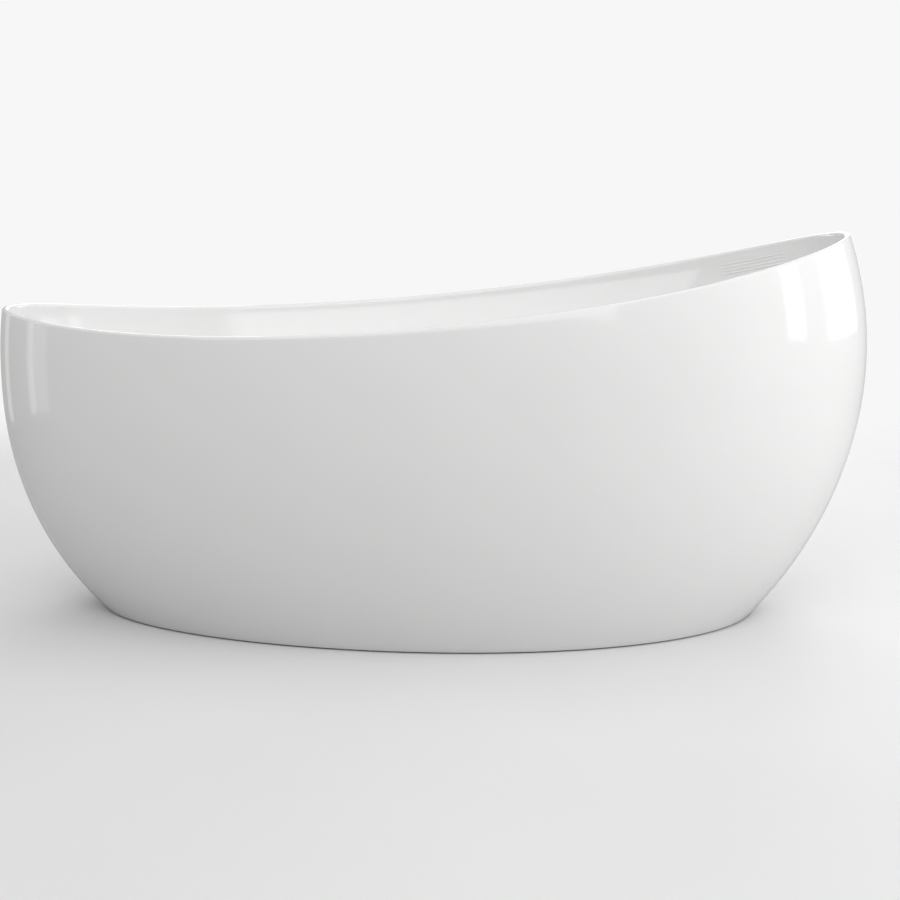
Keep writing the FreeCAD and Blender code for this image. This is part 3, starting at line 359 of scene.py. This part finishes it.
OVERFLOW_AT = Vector((0, 0.42354, 0.535))
OVERFLOW_NORMAL = Vector((0.01274, -0.94642, 0.32269)).normalized()
OVERFLOW_UP = Vector((0.03602, 0.32294, 0.94573)).normalized()
OVERFLOW_ACROSS = OVERFLOW_UP.cross(OVERFLOW_NORMAL)
ON_WALL = Matrix((OVERFLOW_ACROSS, OVERFLOW_UP, OVERFLOW_NORMAL)).transposed().to_4x4()
ON_WALL.translation = OVERFLOW_AT
OVERFLOW_HOLE = 0.026
CUTTER_REACH = 0.02                     # either side of the wall


def cutter(radius, reach, placed, around=96):
    """A round bar across a wall, to be taken out of a piece."""
    points = []
    for height in (-reach, reach):
        for angle in (2 * math.pi * step / around for step in range(around)):
            points.append(placed @ Vector((radius * math.cos(angle), radius * math.sin(angle), height)))
    faces = grid_faces(2, around, wrap_rows=False)
    faces += [tuple(range(around)), tuple(range(around, 2 * around))]
    return new_piece("cutter", points, faces, body=None)


def drill(piece, tool):
    """Take a tool's volume out of a piece, then forget the tool."""
    hole = piece.modifiers.new("hole", "BOOLEAN")
    hole.operation = "DIFFERENCE"
    hole.solver = "EXACT"
    hole.object = tool
    apply_modifiers(piece)
    bpy.data.objects.remove(tool)


basin_shell = ring_piece("basin_shell", basin_rings())
drill(basin_shell, cutter(OVERFLOW_HOLE, CUTTER_REACH, ON_WALL))
finished(basin_shell, "white_acrylic")
tidy_mesh(basin_shell.data)
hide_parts("basin")

# The bead stays a little clear of both mouldings and of the rim line.
BOND_OUTSIDE, BOND_INSIDE, BOND_TOP, BOND_BOTTOM = 0.0062, 0.0068, 0.0015, 0.022
bond_rings = [rim_ring(BOND_OUTSIDE, BOND_TOP), rim_ring(BOND_INSIDE, BOND_TOP),
              rim_ring(BOND_INSIDE, BOND_BOTTOM), rim_ring(BOND_OUTSIDE, BOND_BOTTOM)]
rim_bond = finished(ring_piece("rim_bond", bond_rings), "adhesive")
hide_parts("rim_adhesive")


# ---------------------------------------------------------------- raised ribs of the headrest

RIB_DEPTHS = (0.030, 0.038, 0.046, 0.054)
RIB_FROM, RIB_TO = math.radians(25), math.radians(41)
RIB_HALF_HEIGHT, RIB_PROUD = 0.0022, 0.0013
RIB_TAPER_POWER, RIB_TIP = 12, 0.001    # the ribs keep their width until close to their ends
TURN_NUDGE, DEPTH_NUDGE = 0.002, 0.001  # small moves that give a rib its directions on the wall


def lining_at(turn, depth):
    """A point of the bathing side, a depth below the rim line."""
    turns = np.array([turn])
    z = rim_line(WET_INSET, depth, turns)
    return Vector(lining(z, WET_INSET, FLOOR_WET, turns)[0])


def rib_rings(depth, steps=48, around=12):
    """A slim capsule that lies half sunk in the bathing side and follows it."""
    rings = []
    for step in range(steps + 1):
        share = step / steps
        turn = RIB_FROM + (RIB_TO - RIB_FROM) * share
        taper = math.sqrt(max(0.0, 1 - abs(2 * share - 1) ** RIB_TAPER_POWER)) + RIB_TIP
        here = lining_at(turn, depth)
        along = lining_at(turn + TURN_NUDGE, depth) - lining_at(turn - TURN_NUDGE, depth)
        down = lining_at(turn, depth + DEPTH_NUDGE) - lining_at(turn, depth - DEPTH_NUDGE)
        down.normalize()
        outward = down.cross(along).normalized()
        ring = []
        for k in range(around):
            angle = 2 * math.pi * k / around
            offset = down * math.cos(angle) * RIB_HALF_HEIGHT + outward * math.sin(angle) * RIB_PROUD
            ring.append(here + offset * taper)
        rings.append(ring)
    return rings


def headrest_ribs():
    """All the ribs as one piece."""
    points, faces = [], []
    for depth in RIB_DEPTHS:
        rings = rib_rings(depth)
        start, around = len(points), len(rings[0])
        points += [point for ring in rings for point in ring]
        faces += [tuple(start + corner for corner in face)
                  for face in grid_faces(len(rings), around, wrap_rows=False)]
        faces.append(tuple(range(start, start + around)))
        faces.append(tuple(range(len(points) - around, len(points))))
    finished(new_piece("headrest_ribs", points, faces), "white_acrylic")


headrest_ribs()


# ---------------------------------------------------------------- floor, light and camera

FLOOR_LIGHT, FLOOR_DARK, FLOOR_BOUNCE = 0.80, 0.78, 0.53
FLOOR_RADIUS, FLOOR_SIDES = 30, 128
FADE_START, FADE_END = 2.0, 3.6         # distances from the tub over which the floor gives way
WORLD_STRENGTH, BACKDROP_STRENGTH = 0.50, 0.93
WHITE = (1, 1, 1, 1)


def grey(level):
    return (level, level, level)


def floor_material():
    """Pale matt floor that gives way to the backdrop far off and sends little light back up."""
    material = finish_material("pale_floor", grey(FLOOR_LIGHT), grey(FLOOR_DARK), 0.75, grain=1.5,
                               bump=0.0002, bump_grain=30, specular=0.2)
    nodes, links = material.node_tree.nodes, material.node_tree.links
    bounce = nodes.new("ShaderNodeBsdfDiffuse")
    bounce.inputs["Color"].default_value = (*grey(FLOOR_BOUNCE), 1)
    rays = nodes.new("ShaderNodeLightPath")
    seen = nodes.new("ShaderNodeMixShader")
    links.new(rays.outputs["Is Camera Ray"], seen.inputs["Fac"])
    links.new(bounce.outputs["BSDF"], seen.inputs[1])
    links.new(nodes["Principled BSDF"].outputs["BSDF"], seen.inputs[2])
    place = nodes.new("ShaderNodeTexCoord")
    radius = nodes.new("ShaderNodeVectorMath")
    radius.operation = "LENGTH"
    fade = nodes.new("ShaderNodeMapRange")
    fade.interpolation_type = "SMOOTHSTEP"
    fade.inputs["From Min"].default_value = FADE_START
    fade.inputs["From Max"].default_value = FADE_END
    clear = nodes.new("ShaderNodeBsdfTransparent")
    choice = nodes.new("ShaderNodeMixShader")
    links.new(place.outputs["Object"], radius.inputs[0])
    links.new(radius.outputs["Value"], fade.inputs["Value"])
    links.new(fade.outputs["Result"], choice.inputs["Fac"])
    links.new(seen.outputs["Shader"], choice.inputs[1])
    links.new(clear.outputs["BSDF"], choice.inputs[2])
    links.new(choice.outputs["Shader"], nodes["Material Output"].inputs["Surface"])
    return material


def studio_floor():
    angles = [2 * math.pi * step / FLOOR_SIDES for step in range(FLOOR_SIDES)]
    points = [(FLOOR_RADIUS * math.cos(angle), FLOOR_RADIUS * math.sin(angle), 0) for angle in angles]
    mesh = bpy.data.meshes.new("studio_floor")
    mesh.from_pydata(points, [], [range(FLOOR_SIDES)])
    floor = bpy.data.objects.new("studio_floor", mesh)
    bpy.context.scene.collection.objects.link(floor)
    mesh.materials.append(floor_material())


def softbox(name, azimuth, distance, bottom, top, width, aim=None, diffuse=True, glossy=True):
    """A rectangular light standing round the tub, azimuth from +Y towards +X, facing the tub."""
    lamp = bpy.data.lights.new(name, "AREA")
    lamp.shape = "RECTANGLE"
    lamp.size, lamp.size_y = width, top - bottom
    lamp.energy = LIGHT_POWERS[name]
    holder = bpy.data.objects.new(name, lamp)
    turn = math.radians(azimuth)
    holder.location = (distance * math.sin(turn), distance * math.cos(turn), (top + bottom) / 2)
    target = Vector(aim or (0, 0, (top + bottom) / 2))
    holder.rotation_euler = (target - holder.location).to_track_quat("-Z", "Y").to_euler()
    holder.visible_camera = False
    holder.visible_diffuse = diffuse
    holder.visible_glossy = glossy
    bpy.context.scene.collection.objects.link(holder)


LIGHT_POWERS = {
    "ceiling": 52,
    "key_low_right": 27,
    "key_high_right": 56,
    "fill_front": 2,
    "back_light": 110,
    "top_front": 50,
    "window_front": 128,
    "panel_right": 2.4,
    "panel_right_back": 6.0,
    "strip_left": 0.45,
    "strip_left_wide": 0.7,
    "strip_far_left": 0.5,
    "window_back_left": 8,
    "window_back_right": 8,
    "skylight": 10,
}

studio_floor()
# Soft light that shapes the tub without being mirrored in it.
softbox("ceiling", 0, 0.001, 3.4, 7.4, 5.0, aim=(0, 0, 0), glossy=False)
softbox("key_low_right", 106, 4.2, 0.0, 0.9, 2.6, glossy=False)
softbox("key_high_right", 106, 4.2, 1.2, 2.8, 2.6, glossy=False)
softbox("fill_front", 180, 5.5, 0.2, 3.2, 4.5, glossy=False)
softbox("back_light", 10, 4.5, 0.8, 3.2, 4.0, glossy=False)
softbox("top_front", 182, 3.4, 2.4, 4.4, 3.4, aim=(0, 0.3, 0.5), glossy=False)
# Panels that only show as highlights in the gloss.
softbox("window_front", 190, 5.5, 1.2, 4.6, 8.0, diffuse=False)
softbox("panel_right", 106.2, 2.62, 0.62, 2.0, 0.34, diffuse=False)
softbox("panel_right_back", 80.5, 2.55, 0.58, 2.0, 1.1, diffuse=False)
softbox("strip_left", -90.3, 2.42, 0.15, 1.5, 0.13, diffuse=False)
softbox("strip_left_wide", -94.5, 2.43, 0.17, 1.5, 0.32, diffuse=False)
softbox("strip_far_left", -70, 2.3, 0.12, 1.5, 0.25, diffuse=False)
softbox("window_back_left", -25, 2.8, 0.5, 2.2, 0.8, diffuse=False)
softbox("window_back_right", 28, 2.8, 0.5, 2.2, 0.8, diffuse=False)
softbox("skylight", 0, 0.9, 2.8, 4.0, 2.2, aim=(0, 0, 0.3), diffuse=False)


def studio_world():
    """Soft light from everywhere, with a near-white backdrop where the camera looks past the floor."""
    world = bpy.data.worlds.new("studio")
    world.use_nodes = True
    nodes, links = world.node_tree.nodes, world.node_tree.links
    light = nodes["Background"]
    light.inputs["Color"].default_value = WHITE
    light.inputs["Strength"].default_value = WORLD_STRENGTH
    backdrop = nodes.new("ShaderNodeBackground")
    backdrop.inputs["Color"].default_value = WHITE
    backdrop.inputs["Strength"].default_value = BACKDROP_STRENGTH
    rays = nodes.new("ShaderNodeLightPath")
    choice = nodes.new("ShaderNodeMixShader")
    links.new(rays.outputs["Is Camera Ray"], choice.inputs["Fac"])
    links.new(light.outputs["Background"], choice.inputs[1])
    links.new(backdrop.outputs["Background"], choice.inputs[2])
    links.new(choice.outputs["Shader"], nodes["World Output"].inputs["Surface"])
    bpy.context.scene.world = world


studio_world()
bpy.context.scene.view_settings.view_transform = "Standard"

CAMERA_AT = (0.1009, -3.1284, 0.9133)
CAMERA_PITCH, CAMERA_YAW = 0.1783, 0.0188
CAMERA_SENSOR, CAMERA_LENS = 36, 56.72
camera_data = bpy.data.cameras.new("camera")
camera_data.sensor_width = CAMERA_SENSOR
camera_data.lens = CAMERA_LENS
camera = bpy.data.objects.new("camera", camera_data)
camera.location = CAMERA_AT
camera.rotation_euler = (math.pi / 2 - CAMERA_PITCH, 0, CAMERA_YAW)
bpy.context.scene.collection.objects.link(camera)
bpy.context.scene.camera = camera
